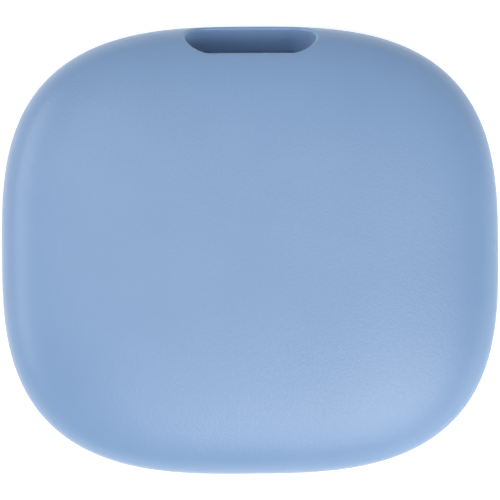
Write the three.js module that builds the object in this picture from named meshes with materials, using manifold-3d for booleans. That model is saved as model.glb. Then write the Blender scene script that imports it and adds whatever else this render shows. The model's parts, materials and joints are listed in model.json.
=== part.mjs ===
// A tracker tag: two snapped shells with a lanyard slot, a coin cell, and an electronics module between them.
// Millimetres. The tag lies on its back: +Z is the way the face looks, +Y runs towards the lanyard slot.
// The origin is the middle of the rest face.
import * as THREE from "three";
import { mergeVertices } from "three/addons/utils/BufferGeometryUtils.js";
import Module from "manifold-3d";

const wasm = await Module();
wasm.setup();

// Outside of the tag
const WIDTH = 40;
const HEIGHT = 36;
const WIDEST_Z = 3.6;
const FRONT_DEPTH = 4.8;
const REST_SINK = 0.3; // the rear crown's pole would lie this far below the rest face
const OUTLINE_POWER = 2.97;
const CROWN_POWER = 3;
const OUTLINE_STEPS = 72;
const CROWN_STEPS = 9;

// Shells
const WALL = 1;
const CAVITY_POWER = 3.6;
const REAR_RIM = 2.3;
const FRONT_RIM = 2.6;
const TOP = WIDEST_Z + FRONT_DEPTH;

// Lanyard slot: it enters through the front shoulder at a lean, then turns down to the rear face
const SLOT_LENGTH = 10.54;
const SLOT_GAP = 3.12;
const SLOT_END = 2.05; // how far each rounded end reaches along the slot
const SLOT_END_POWER = 1.75;
const SLOT_STEPS = 20;
const SLOT_LEAN = 48; // degrees
const SLOT_Y = 16.97;
const SLOT_Z = 5.65;
const SLOT_DEPTH = 4.6;
const SLOT_REACH = 4;
const EXIT_Y = 14;
const EXIT_GAP = 3.4;
const EXIT_TOP = 3.1;

// Frame loop: it follows the outline and steps in around the slot
const LOOP_INSET = 1.6;
const LOOP_NOTCH_HALF = 6.7;
const LOOP_NOTCH_Y = 10.9;
const FRAME_WIDTH = 1;
const FRAME_LOW = 2.55;
const FRAME_HIGH = 5.15;
const FLANGE_LOW = 4.55;
const GASKET_LOW = 2.33;
const GASKET_HIGH = 2.5;
const GASKET_MARGIN = 0.1;

// Guide pegs of the front shell, in bosses of the frame
const PEG_X = 12.8;
const PEG_Y = 10.8;
const PEG_RADIUS = 0.7;
const PEG_LOW = 3.2;
const PEG_STEPS = 16;
const BOSS_RADIUS = 1.75;
const PEG_CLEARANCE = 0.4;

// Snap tabs of the rear shell, inside the frame
const TAB_INSET = 3;
const TAB_THICK = 0.8;
const TAB_LENGTH = 3.2;
const TAB_LOW = 1.5;
const TAB_HIGH = 4.2;
const TAB_FOOT = 0.7;
const FOOT_HIGH = 2.15;
const LEDGE_LOW = 1.3;
const LEDGE_INSET = LOOP_INSET + FRAME_WIDTH + 0.1;
const TAB_SIDE_Y = 4.6;
const TAB_END_X = 5.4;

// Coin cell
const CELL_Y = -2.5;
const CELL_RADIUS = 10;
const CELL_LOW = 1.45;
const CELL_HEIGHT = 3.2;
const CELL_TOP = CELL_LOW + CELL_HEIGHT;
const CELL_STEPS = 48;
const CELL_SHEET = 0.25;
const CELL_EDGE = 0.2;
const LIP_DROP = 0.25; // the can's crimped lip lies this far below the cap
const LIP_REACH = 0.65; // and reaches in this far
const CAP_INSET = 1.1;
const PACK_INSET = 0.45; // room for the grommet between the can's wall and the cap's skirt
const GROMMET_GAP = 0.06;
const PAD_RADIUS = 5;
const PAD_LOW = WALL + 0.12;
const CRADLE_CLEARANCE = 0.3;
const CRADLE_THICK = 0.7;
const CRADLE_HIGH = 3.2;
const CRADLE_WINDOW = 4.4;
const WINDOW_LOW = 2.1;

// Circuit board
const BOARD_LOW = 5.2;
const BOARD_THICK = 0.6;
const BOARD_TOP = BOARD_LOW + BOARD_THICK;
const BOARD_INSET = 2.8;
const SEAT = 0.03; // planar gap under a part that rests on a face
const CHIP_PART_WIDTH = 0.6;
const CHIP_PART_LENGTH = 1.1;
const CAPACITOR_HEIGHT = 0.55;
const RESISTOR_HEIGHT = 0.35;

// Switch under the middle of the face, and the front shell's press boss above it
const SWITCH_WIDTH = 3.4;
const SWITCH_HEIGHT = 0.6;
const SWITCH_WELL = 1.2;
const SWITCH_FLOOR = 0.12;
const COVER_THICK = 0.08;
const COVER_MARGIN = 0.1;
const COVER_HOLE_GAP = 0.2;
const DOME_RADIUS = 1.05;
const DOME_HEIGHT = 0.3;
const DOME_SHEET = 0.08;
const DOME_RINGS = 6;
const PLUNGER_RADIUS = 0.62;
const PLUNGER_TOP = 6.68;
const PAD_THICK = 0.12;
const PRESS_BOSS_RADIUS = 1.3;
const PRESS_PLAY = 0.06;
const SMALL_STEPS = 24;

// Sounder, bonded to a ring under the ceiling
const SOUNDER_X = -8.6;
const SOUNDER_Y = -3;
const SOUNDER_RADIUS = 5.5;
const CERAMIC_RADIUS = 3.7;
const SOUNDER_SEAT = 6.8;
const SOUNDER_RING = 0.7;
const SOUNDER_THICK = 0.14;
const TAPE_THICK = 0.1;
const SPRING_WIDTH = 0.9;
const ROUND_STEPS = 40;

// Battery contacts, soldered under the board
const CONTACT_SHEET = 0.2;
const CONTACT_FOOT = 2.2;
const CONTACT_WIDTH = 2.4;
const LEAF_SHEET = 0.12;
const LEAF_WIDTH = 2.2;

const MATERIALS = {
  shell: material(0x9cb8de, 0.55, 0),
  frame: material(0x2c2f33, 0.6, 0),
  seal: material(0x3a3d42, 0.85, 0),
  board: material(0x1d5b45, 0.45, 0),
  chip: material(0x17181a, 0.5, 0),
  ceramic: material(0xd9d2bf, 0.5, 0),
  capacitor: material(0x9a7b56, 0.5, 0),
  steel: material(0xc2c5c8, 0.3, 1),
  gold: material(0xd2aa55, 0.3, 1),
  brass: material(0xc9a24f, 0.35, 1),
  tape: material(0xe8e4d8, 0.7, 0),
  plunger: material(0x2b2523, 0.5, 0),
};

const group = new THREE.Group();

// A finish, from its colour, roughness and metalness
function material(color, roughness, metalness) {
  return new THREE.MeshStandardMaterial({ color, roughness, metalness });
}

// A closed geometry as a solid, with its faces turned outwards
function toSolid(geometry) {
  geometry.deleteAttribute("normal");
  geometry.deleteAttribute("uv");
  const merged = mergeVertices(geometry, 1e-4);
  const corners = merged.index.array;
  const faces = [];
  for (let i = 0; i < corners.length; i += 3) {
    const [a, b, c] = corners.slice(i, i + 3);
    if (a !== b && b !== c && c !== a) {
      faces.push(a, b, c);
    }
  }
  const vertProperties = new Float32Array(merged.attributes.position.array);
  if (volumeOf(vertProperties, faces) < 0) {
    faces.reverse();
  }
  const triVerts = new Uint32Array(faces);
  return new wasm.Manifold(new wasm.Mesh({ numProp: 3, vertProperties, triVerts }));
}

// The signed volume that the faces enclose
function volumeOf(positions, faces) {
  const a = new THREE.Vector3();
  const b = new THREE.Vector3();
  const c = new THREE.Vector3();
  let total = 0;
  for (let i = 0; i < faces.length; i += 3) {
    a.fromArray(positions, 3 * faces[i]);
    b.fromArray(positions, 3 * faces[i + 1]);
    c.fromArray(positions, 3 * faces[i + 2]);
    total += a.dot(b.cross(c)) / 6;
  }
  return total;
}

// One named mesh of the tag
function addPart(name, solid, finish) {
  const { vertProperties, triVerts } = solid.getMesh();
  const geometry = new THREE.BufferGeometry();
  geometry.setAttribute("position", new THREE.BufferAttribute(vertProperties, 3));
  geometry.setIndex(new THREE.BufferAttribute(triVerts, 1));
  geometry.computeVertexNormals();
  const mesh = new THREE.Mesh(geometry, MATERIALS[finish]);
  mesh.name = name;
  group.add(mesh);
}

// The solid over a flat shape, from low to high
function prism(shape, low, high) {
  const geometry = new THREE.ExtrudeGeometry(shape, {
    depth: high - low,
    bevelEnabled: false,
    curveSegments: 10,
  });
  geometry.translate(0, 0, low);
  return toSolid(geometry);
}

// A box about x and y
function block(width, depth, low, high, x = 0, y = 0) {
  const geometry = new THREE.BoxGeometry(width, depth, high - low);
  geometry.translate(x, y, (low + high) / 2);
  return toSolid(geometry);
}

// A closed profile of radii and levels, turned about an upright axis
function turned(profile, x = 0, y = 0, steps = ROUND_STEPS) {
  const points = profile.map(([radius, z]) => new THREE.Vector2(radius, z));
  const geometry = new THREE.LatheGeometry(points, steps);
  geometry.rotateX(Math.PI / 2);
  geometry.translate(x, y, 0);
  return toSolid(geometry);
}

function disc(radius, low, high, x = 0, y = 0, steps = ROUND_STEPS) {
  return turned([[0, low], [radius, low], [radius, high], [0, high]], x, y, steps);
}

function ring(inner, outer, low, high, x = 0, y = 0, steps = ROUND_STEPS) {
  const profile = [[inner, low], [outer, low], [outer, high], [inner, high], [inner, low]];
  return turned(profile, x, y, steps);
}

// The slot's section, grown by wall: two flats, and ends that are halves of a superellipse
function slotSection(gap, wall) {
  const end = SLOT_END + wall;
  const straight = SLOT_LENGTH / 2 - SLOT_END;
  const points = [];
  for (let i = 0; i <= 2 * SLOT_STEPS + 1; i += 1) {
    const side = i > SLOT_STEPS ? -1 : 1;
    const angle = Math.PI * ((i - (side < 0 ? 1 : 0)) / SLOT_STEPS - 0.5);
    const x = side * straight + end * signedPower(Math.cos(angle), 2 / SLOT_END_POWER);
    points.push(new THREE.Vector2(x, (gap / 2 + wall) * signedPower(Math.sin(angle), 2 / SLOT_END_POWER)));
  }
  return new THREE.Shape(points);
}

function signedPower(value, power) {
  return Math.sign(value) * Math.abs(value) ** power;
}

// A profile in X and Z, given depth along Y about y
function strip(points, depth, y) {
  const shape = new THREE.Shape(points.map(([x, z]) => new THREE.Vector2(x, z)));
  const geometry = new THREE.ExtrudeGeometry(shape, { depth, bevelEnabled: false });
  geometry.rotateX(Math.PI / 2);
  geometry.translate(0, y + depth / 2, 0);
  return toSolid(geometry);
}

// Distance from the centre to a superellipse in direction angle
function outlineRadius(angle, halfWidth, halfHeight) {
  const across = Math.abs(Math.cos(angle) / halfWidth) ** OUTLINE_POWER;
  const along = Math.abs(Math.sin(angle) / halfHeight) ** OUTLINE_POWER;
  return (across + along) ** (-1 / OUTLINE_POWER);
}

// The tag's outline, drawn in by an inset
function outlineShape(inset) {
  const shape = new THREE.Shape();
  const points = [];
  for (let i = 0; i < OUTLINE_STEPS; i += 1) {
    const angle = (2 * Math.PI * i) / OUTLINE_STEPS;
    const radius = outlineRadius(angle, WIDTH / 2 - inset, HEIGHT / 2 - inset);
    points.push(new THREE.Vector2(radius * Math.cos(angle), radius * Math.sin(angle)));
  }
  shape.setFromPoints(points);
  return shape;
}

// A crowned pebble: each level is the outline, drawn in by the crown's own superellipse
function pebble(inset, frontDepth, rearDepth, power, restZ) {
  const profile = [new THREE.Vector2(0, restZ)];
  for (let i = 0; i <= 2 * CROWN_STEPS; i += 1) {
    const angle = (Math.PI / 2) * (i / CROWN_STEPS - 1);
    const radius = Math.abs(Math.cos(angle)) ** (2 / power);
    const rise = signedPower(Math.sin(angle), 2 / power);
    const z = WIDEST_Z + rise * (rise > 0 ? frontDepth : rearDepth);
    if (z > restZ + SEAT && radius > 0.001) {
      profile.push(new THREE.Vector2(radius, z));
    }
  }
  const restRise = (WIDEST_Z - restZ) / rearDepth;
  const restRadius = (1 - restRise ** power) ** (1 / power);
  profile.splice(1, 0, new THREE.Vector2(restRadius, restZ));
  profile.push(new THREE.Vector2(0, WIDEST_Z + frontDepth));
  const geometry = new THREE.LatheGeometry(profile, OUTLINE_STEPS);
  geometry.rotateX(Math.PI / 2);
  const places = geometry.attributes.position;
  for (let i = 0; i < places.count; i += 1) {
    const angle = Math.atan2(places.getY(i), places.getX(i));
    const reach = outlineRadius(angle, WIDTH / 2 - inset, HEIGHT / 2 - inset);
    places.setXY(i, places.getX(i) * reach, places.getY(i) * reach);
  }
  return toSolid(geometry);
}

// The slot's tunnel, grown by wall on every side
function tunnel(wall) {
  const leaning = prism(slotSection(SLOT_GAP, wall), -SLOT_DEPTH - wall, SLOT_REACH)
    .rotate([-SLOT_LEAN, 0, 0])
    .translate([0, SLOT_Y, SLOT_Z]);
  const upright = prism(slotSection(EXIT_GAP, wall), -WALL, EXIT_TOP + wall / 2)
    .translate([0, EXIT_Y, 0]);
  return leaning.add(upright);
}

// Everything inside the loop at an inset, from low to high
function loopPlug(inset, low, high) {
  const growth = inset - LOOP_INSET;
  const notchHalf = LOOP_NOTCH_HALF + growth;
  const notchY = LOOP_NOTCH_Y - growth;
  const notch = block(2 * notchHalf, HEIGHT, low - 1, high + 1, 0, notchY + HEIGHT / 2);
  return prism(outlineShape(inset), low, high).subtract(notch);
}

// The band between two insets of the loop
function loopBand(outerInset, innerInset, low, high) {
  return loopPlug(outerInset, low, high).subtract(loopPlug(innerInset, low - 1, high + 1));
}

// Where the four guide pegs stand
function cornerPlaces() {
  const places = [];
  for (const sideX of [-1, 1]) {
    for (const sideY of [-1, 1]) {
      places.push([sideX * PEG_X, sideY * PEG_Y]);
    }
  }
  return places;
}

const outside = pebble(0, FRONT_DEPTH, WIDEST_Z + REST_SINK, CROWN_POWER, 0);
const inside = pebble(WALL, FRONT_DEPTH - WALL, WIDEST_Z - WALL, CAVITY_POWER, WALL);
const bore = tunnel(0);
const barFill = block(SLOT_LENGTH + 2 * WALL, EXIT_GAP, -WALL, TOP, 0, HEIGHT / 2 - EXIT_GAP / 2);
const sleeve = tunnel(WALL).add(barFill);

// The front shell's hollow leaves the slot's sleeve, the pegs, the press boss and the sounder's seat standing
function makeFrontShell() {
  let hollow = inside.subtract(sleeve);
  for (const [x, y] of cornerPlaces()) {
    hollow = hollow.subtract(disc(PEG_RADIUS, PEG_LOW, TOP, x, y, PEG_STEPS));
  }
  const bossLow = PLUNGER_TOP + SEAT + PAD_THICK + PRESS_PLAY;
  hollow = hollow.subtract(disc(PRESS_BOSS_RADIUS, bossLow, TOP, 0, 0, SMALL_STEPS));
  const seatInner = SOUNDER_RADIUS - SOUNDER_RING;
  hollow = hollow.subtract(ring(seatInner, SOUNDER_RADIUS, SOUNDER_SEAT, TOP, SOUNDER_X, SOUNDER_Y));
  const level = block(2 * WIDTH, 2 * HEIGHT, FRONT_RIM, 2 * TOP);
  addPart("front_shell", outside.subtract(hollow).subtract(bore).intersect(level), "shell");
}

// The rear shell has a ledge under the frame, a cradle around the cell and snap tabs inside the frame
function makeRearShell() {
  const ledge = loopBand(-WALL, LEDGE_INSET, LEDGE_LOW, TOP);
  const hollow = inside.subtract(sleeve).subtract(ledge);
  const level = block(2 * WIDTH, 2 * HEIGHT, -WALL, REAR_RIM);
  let shell = outside.subtract(hollow).intersect(level);
  const cradleInner = CELL_RADIUS + CRADLE_CLEARANCE;
  const cradle = ring(cradleInner, cradleInner + CRADLE_THICK, WALL / 2, CRADLE_HIGH, 0, CELL_Y, CELL_STEPS);
  shell = shell.add(cradle.subtract(block(3 * CELL_RADIUS, CRADLE_WINDOW, WINDOW_LOW, TOP, 0, CELL_Y)));
  const tabX = WIDTH / 2 - TAB_INSET - TAB_THICK / 2;
  const tabY = HEIGHT / 2 - TAB_INSET - TAB_THICK / 2;
  for (const side of [-1, 1]) {
    for (const y of [-TAB_SIDE_Y, TAB_SIDE_Y]) {
      shell = shell.add(block(TAB_THICK, TAB_LENGTH, TAB_LOW, TAB_HIGH, side * tabX, y));
      shell = shell.add(block(2 * TAB_FOOT, TAB_LENGTH, TAB_LOW, FOOT_HIGH, side * (tabX + TAB_FOOT), y));
    }
    const x = side * TAB_END_X;
    shell = shell.add(block(TAB_LENGTH, TAB_THICK, TAB_LOW, TAB_HIGH, x, -tabY));
    shell = shell.add(block(TAB_LENGTH, 2 * TAB_FOOT, TAB_LOW, FOOT_HIGH, x, -tabY - TAB_FOOT));
  }
  addPart("rear_shell", shell.subtract(bore), "shell");
}

// The frame carries the module: a loop, a flange under the board and bosses for the pegs, on a gasket
function makeFrame() {
  let frame = loopBand(LOOP_INSET, LOOP_INSET + FRAME_WIDTH, FRAME_LOW, FRAME_HIGH);
  frame = frame.add(loopBand(LOOP_INSET + FRAME_WIDTH / 2, TAB_INSET + TAB_THICK, FLANGE_LOW, FRAME_HIGH));
  for (const [x, y] of cornerPlaces()) {
    frame = frame.add(disc(BOSS_RADIUS, FRAME_LOW, FRAME_HIGH, x, y, SMALL_STEPS));
  }
  frame = frame.intersect(loopPlug(LOOP_INSET, FRAME_LOW, FRAME_HIGH));
  for (const [x, y] of cornerPlaces()) {
    frame = frame.subtract(disc(PEG_RADIUS + PEG_CLEARANCE, 0, TOP, x, y, PEG_STEPS));
  }
  addPart("snap_frame", frame, "frame");
  const gasket = loopBand(LOOP_INSET + GASKET_MARGIN, LOOP_INSET + FRAME_WIDTH, GASKET_LOW, GASKET_HIGH);
  addPart("frame_gasket", gasket, "seal");
}

// The board has the frame loop's shape, with holes for the pegs
function makeBoard() {
  let board = loopPlug(BOARD_INSET, BOARD_LOW, BOARD_TOP);
  for (const [x, y] of cornerPlaces()) {
    board = board.subtract(disc(PEG_RADIUS + PEG_CLEARANCE, 0, TOP, x, y, PEG_STEPS));
  }
  addPart("circuit_board", board, "board");
}

// Box-shaped parts on the board's top: name, width, depth, height, x, y, finish
function makeBoardParts() {
  const low = BOARD_TOP + SEAT;
  const parts = [
    ["radio_chip", 4, 4, 0.75, 8.4, -2.4, "chip"],
    ["sounder_driver", 1.6, 1.6, 0.6, -3.4, 5.2, "chip"],
    ["boost_inductor", 2, 1.6, 0.9, -6.4, 6.4, "chip"],
    ["radio_crystal", 2, 1.6, 0.5, 12.6, -3.2, "steel"],
    ["clock_crystal", 1.6, 1, 0.5, 8.2, -6.6, "steel"],
    ["chip_antenna", 3.2, 1.6, 0.6, -9.8, 10.6, "ceramic"],
  ];
  const capacitorPlaces = [[5.2, -1.2], [5.2, -3], [8.2, 1.4], [10.2, 1.4], [11.4, -6.4], [-1, 5.2]];
  const resistorPlaces = [[5.2, -4.8], [-5.6, 8.75], [12.2, 0.4], [1.2, 5.2]];
  for (const [name, width, depth, height, x, y, finish] of parts) {
    addPart(name, block(width, depth, low, low + height, x, y), finish);
  }
  capacitorPlaces.forEach(([x, y], i) => {
    const body = block(CHIP_PART_WIDTH, CHIP_PART_LENGTH, low, low + CAPACITOR_HEIGHT, x, y);
    addPart(`capacitor_${i + 1}`, body, "capacitor");
  });
  resistorPlaces.forEach(([x, y], i) => {
    const body = block(CHIP_PART_WIDTH, CHIP_PART_LENGTH, low, low + RESISTOR_HEIGHT, x, y);
    addPart(`resistor_${i + 1}`, body, "chip");
  });
}

// A dome switch: base, dome, cover plate and plunger, and the press pad between the plunger and the boss
function makeSwitch() {
  const low = BOARD_TOP + SEAT;
  const high = low + SWITCH_HEIGHT;
  const well = disc(SWITCH_WELL, low + SWITCH_FLOOR, TOP, 0, 0, SMALL_STEPS);
  const base = block(SWITCH_WIDTH, SWITCH_WIDTH, low, high).subtract(well);
  addPart("switch_base", base, "plunger");
  const domeLow = low + SWITCH_FLOOR + SEAT;
  addPart("switch_dome", turned(domeProfile(domeLow), 0, 0, SMALL_STEPS), "steel");
  const coverLow = high + SEAT;
  const coverWidth = SWITCH_WIDTH - 2 * COVER_MARGIN;
  const coverHole = disc(PLUNGER_RADIUS + COVER_HOLE_GAP, 0, TOP, 0, 0, SMALL_STEPS);
  const cover = block(coverWidth, coverWidth, coverLow, coverLow + COVER_THICK).subtract(coverHole);
  addPart("switch_cover", cover, "steel");
  const plungerLow = domeLow + DOME_HEIGHT + SEAT;
  addPart("switch_plunger", disc(PLUNGER_RADIUS, plungerLow, PLUNGER_TOP, 0, 0, SMALL_STEPS), "plunger");
  const padLow = PLUNGER_TOP + SEAT;
  addPart("press_pad", disc(PLUNGER_RADIUS, padLow, padLow + PAD_THICK, 0, 0, SMALL_STEPS), "seal");
}

// A thin domed disc, open below
function domeProfile(low) {
  const outer = [];
  const inner = [];
  for (let i = 0; i <= DOME_RINGS; i += 1) {
    const radius = (DOME_RADIUS * (DOME_RINGS - i)) / DOME_RINGS;
    const rise = (DOME_HEIGHT - DOME_SHEET) * (1 - (radius / DOME_RADIUS) ** 2);
    outer.push([radius, low + DOME_SHEET + rise]);
    inner.push([radius, low + rise]);
  }
  return [...outer, ...inner.reverse(), outer[0]];
}

// The sounder: a brass disc and its ceramic, hung from a ring of tape, with two springs up from the board
function makeSounder() {
  const tapeHigh = SOUNDER_SEAT - SEAT;
  const tapeLow = tapeHigh - TAPE_THICK;
  const discHigh = tapeLow - SEAT;
  const discLow = discHigh - SOUNDER_THICK;
  const ceramicHigh = discLow - SEAT;
  const ceramicLow = ceramicHigh - SOUNDER_THICK;
  const inner = SOUNDER_RADIUS - SOUNDER_RING;
  addPart("sounder_tape", ring(inner, SOUNDER_RADIUS, tapeLow, tapeHigh, SOUNDER_X, SOUNDER_Y), "tape");
  addPart("sounder_disc", disc(SOUNDER_RADIUS, discLow, discHigh, SOUNDER_X, SOUNDER_Y), "brass");
  addPart("sounder_ceramic", disc(CERAMIC_RADIUS, ceramicLow, ceramicHigh, SOUNDER_X, SOUNDER_Y), "ceramic");
  const springLow = BOARD_TOP + SEAT;
  makeSounderSpring("sounder_spring_1", SOUNDER_X + 0.4, 1, springLow, ceramicLow - SEAT);
  makeSounderSpring("sounder_spring_2", SOUNDER_X - CERAMIC_RADIUS + 0.5, -1, springLow, discLow - SEAT);
}

// A bent strip: a soldered foot at x, and an arm that rises towards side
function makeSounderSpring(name, x, side, low, high) {
  const sheet = 0.1;
  const foot = 1.1;
  const bend = 0.3;
  const tip = 1.7;
  const points = [
    [0, low], [foot, low], [foot, low + sheet], [bend, low + sheet],
    [tip - bend, high - sheet], [tip, high - sheet], [tip, high], [tip - 1.3 * bend, high], [0, low + sheet],
  ];
  addPart(name, strip(points.map(([along, z]) => [x + side * along, z]), SPRING_WIDTH, SOUNDER_Y), "gold");
}

// Two angles press on the can's side, through windows over its cradle, and a leaf presses on its cap
function makeContacts() {
  const footHigh = BOARD_LOW - SEAT;
  const footLow = footHigh - CONTACT_SHEET;
  const near = CELL_RADIUS + CRADLE_CLEARANCE;
  const far = near + CONTACT_FOOT;
  for (const [name, side] of [["positive_contact_1", -1], ["positive_contact_2", 1]]) {
    const points = [
      [side * near, CRADLE_HIGH], [side * (near + CONTACT_SHEET), CRADLE_HIGH],
      [side * (near + CONTACT_SHEET), footLow], [side * far, footLow],
      [side * far, footHigh], [side * near, footHigh],
    ];
    addPart(name, strip(points, CONTACT_WIDTH, CELL_Y), "gold");
  }
  const leafLow = CELL_TOP + SEAT;
  const leafFoot = footHigh - LEAF_SHEET;
  const leafHigh = leafLow + LEAF_SHEET;
  const leaf = [
    [-3, footHigh], [-3, leafFoot], [-0.8, leafFoot], [2.2, leafLow],
    [2.8, leafLow], [3.1, leafHigh], [2.25, leafHigh], [-0.75, footHigh],
  ];
  addPart("negative_contact", strip(leaf, LEAF_WIDTH, CELL_Y), "gold");
}

// Coin cell with its cap upwards, on a foam pad
function makeCell() {
  const lip = CELL_TOP - LIP_DROP;
  const crimp = lip - CELL_SHEET;
  const wall = CELL_RADIUS - CELL_SHEET;
  const lipRadius = CELL_RADIUS - LIP_REACH;
  const floor = CELL_LOW + CELL_SHEET;
  const can = [
    [0, CELL_LOW], [CELL_RADIUS - CELL_EDGE, CELL_LOW], [CELL_RADIUS, CELL_LOW + CELL_EDGE],
    [CELL_RADIUS, lip - CELL_EDGE], [CELL_RADIUS - CELL_SHEET, lip], [lipRadius, lip], [lipRadius, crimp],
    [wall, crimp], [wall, floor], [0, floor],
  ];
  const packLow = floor + SEAT;
  const packRadius = wall - PACK_INSET;
  const capRadius = CELL_RADIUS - CAP_INSET;
  const shoulder = crimp - 0.3;
  const bend = 0.1;
  const cap = [
    [0, packLow], [packRadius, packLow], [packRadius, shoulder], [capRadius, shoulder + bend],
    [capRadius, CELL_TOP - bend], [capRadius - bend, CELL_TOP], [0, CELL_TOP],
  ];
  const inner = packRadius + GROMMET_GAP;
  const outer = wall - GROMMET_GAP;
  const grommet = [
    [inner, packLow], [outer, packLow], [outer, crimp - SEAT],
    [lipRadius - GROMMET_GAP, crimp - SEAT], [lipRadius - GROMMET_GAP, lip], [capRadius + GROMMET_GAP, lip],
    [capRadius + GROMMET_GAP, shoulder + bend + GROMMET_GAP], [inner, shoulder + GROMMET_GAP],
    [inner, packLow],
  ];
  addPart("battery_can", turned(can, 0, CELL_Y, CELL_STEPS), "steel");
  addPart("battery_cap", turned(cap, 0, CELL_Y, CELL_STEPS), "steel");
  addPart("battery_grommet", turned(grommet, 0, CELL_Y, CELL_STEPS), "seal");
  addPart("battery_pad", disc(PAD_RADIUS, PAD_LOW, CELL_LOW - SEAT, 0, CELL_Y), "seal");
}

makeFrontShell();
makeRearShell();
makeFrame();
makeBoard();
makeBoardParts();
makeSwitch();
makeSounder();
makeContacts();
makeCell();

export default group;
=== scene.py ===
"""The looks of a pebble-shaped tracker tag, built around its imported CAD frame.

Shapes are worked out in millimetres in the row frame: the tag lies on its back, +Z is the way its face
looks and +Y runs towards the lanyard slot. Blender's objects are in metres.
"""

import json
import math

import bmesh
import bpy
import numpy as np
from mathutils import Matrix, Vector

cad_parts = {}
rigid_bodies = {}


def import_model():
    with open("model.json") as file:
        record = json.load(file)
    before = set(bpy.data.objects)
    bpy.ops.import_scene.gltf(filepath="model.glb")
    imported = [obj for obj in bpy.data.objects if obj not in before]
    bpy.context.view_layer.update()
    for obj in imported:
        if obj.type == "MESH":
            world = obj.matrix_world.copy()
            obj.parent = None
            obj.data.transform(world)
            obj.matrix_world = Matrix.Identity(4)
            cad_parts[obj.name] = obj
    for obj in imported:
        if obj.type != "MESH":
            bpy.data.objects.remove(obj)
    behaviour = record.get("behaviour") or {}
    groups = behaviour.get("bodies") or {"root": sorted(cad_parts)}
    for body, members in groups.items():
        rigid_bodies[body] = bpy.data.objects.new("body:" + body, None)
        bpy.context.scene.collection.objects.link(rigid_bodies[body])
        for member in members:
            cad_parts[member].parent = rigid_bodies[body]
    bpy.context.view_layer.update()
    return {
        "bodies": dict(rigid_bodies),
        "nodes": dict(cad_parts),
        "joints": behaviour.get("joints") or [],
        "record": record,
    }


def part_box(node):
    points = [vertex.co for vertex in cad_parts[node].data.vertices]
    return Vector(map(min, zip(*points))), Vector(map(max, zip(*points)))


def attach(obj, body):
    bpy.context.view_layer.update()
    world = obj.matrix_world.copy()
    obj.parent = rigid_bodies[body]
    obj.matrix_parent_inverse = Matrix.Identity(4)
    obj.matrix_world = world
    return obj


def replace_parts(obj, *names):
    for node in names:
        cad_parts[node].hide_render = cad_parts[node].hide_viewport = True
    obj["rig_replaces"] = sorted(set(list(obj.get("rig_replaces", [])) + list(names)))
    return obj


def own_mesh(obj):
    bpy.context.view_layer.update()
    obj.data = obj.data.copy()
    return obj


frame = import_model()
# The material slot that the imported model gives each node
NODE_SLOTS = {name: node.data.materials[0].name for name, node in frame["nodes"].items()}

MM = 0.001
SHARP_ANGLE = math.radians(50)


def node_box(node):
    """A CAD node's lowest and highest corners, in millimetres."""
    low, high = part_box(node)
    return low / MM, high / MM


# Driving dimensions, from the CAD frame where it has them
FRONT_LOW, FRONT_HIGH = node_box("front_shell")
REAR_HIGH = node_box("rear_shell")[1]
GASKET_LOW = node_box("frame_gasket")[0]
HALF_WIDTH = FRONT_HIGH.x
HALF_HEIGHT = FRONT_HIGH.y
TOP = FRONT_HIGH.z
FRONT_RIM = FRONT_LOW.z
GASKET_GAP = 0.03
REAR_RIM = GASKET_LOW.z - GASKET_GAP
WIDEST_Z = 3.6
REST_SINK = 0.3
OUTLINE_POWER = 2.97
CROWN_POWER = 3.0
WALL = 1.0
CAVITY_POWER = 3.6

# Lanyard slot
SLOT_HALF = 5.27
SLOT_HALF_GAP = 1.56
SLOT_END = 2.05  # how far each rounded end reaches along the slot
SLOT_END_POWER = 1.75
SLOT_LEAN = math.radians(48)
SLOT_Y = 16.97
SLOT_Z = 5.65
SLOT_DEPTH = 4.6
EXIT_Y = 14.0
EXIT_HALF_GAP = 1.7
EXIT_TOP = 3.1
SLOT_ROUNDING = 0.3
TUNNEL_END_ROUNDING = 0.4
TUNNEL_BEND_ROUNDING = 0.5

# How far the moulded edges and corners are rounded
CRISP_EDGE = 0.1
EDGE = 0.12
FILLET = 0.15
PEG_FILLET = 0.2
ROOM_FILLET = 0.25

TINY = 1e-6  # keeps the middle of a superellipse from dividing by zero


# ---- Solids as fields: each function gives about the distance to a surface, below zero inside ----


def overlap(a, b, rounding):
    """What a and b share, with its new edges rounded."""
    beyond = np.hypot(np.maximum(a + rounding, 0), np.maximum(b + rounding, 0))
    return np.minimum(-rounding, np.maximum(a, b)) + beyond


def joined(a, b, rounding):
    """a and b together, with a fillet where they meet."""
    short = np.hypot(np.maximum(rounding - a, 0), np.maximum(rounding - b, 0))
    return np.maximum(rounding, np.minimum(a, b)) - short


def cut(a, b, rounding):
    """a without b."""
    return overlap(a, -b, rounding)


def superellipse(x, y, half_width, half_height, power):
    """How far out a point is, 1 on the outline, and how fast that grows along X and along Y."""
    across = np.abs(x) / half_width
    along = np.abs(y) / half_height
    level = np.maximum((across**power + along**power) ** (1 / power), TINY)
    slope_x = (across / level) ** (power - 1) / half_width
    slope_y = (along / level) ** (power - 1) / half_height
    return level, slope_x, slope_y


def superellipse_post(x, y, half_width, half_height, power):
    """An endless post with a superellipse for its section."""
    level, slope_x, slope_y = superellipse(x, y, half_width, half_height, power)
    return (level - 1) / np.maximum(np.hypot(slope_x, slope_y), TINY)


def pebble(x, y, z, inset, front, rear, power):
    """A crowned pebble: the outline's superellipse, drawn in by the crown's own one."""
    depth = np.where(z > WIDEST_Z, front, rear)
    level, slope_x, slope_y = superellipse(x, y, HALF_WIDTH - inset, HALF_HEIGHT - inset, OUTLINE_POWER)
    rise = np.abs(z - WIDEST_Z) / depth
    reach = np.maximum((level**power + rise**power) ** (1 / power), TINY)
    sideways = (level / reach) ** (power - 1)
    slope_z = (rise / reach) ** (power - 1) / depth
    return (reach - 1) / np.sqrt((sideways * slope_x) ** 2 + (sideways * slope_y) ** 2 + slope_z**2)


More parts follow.
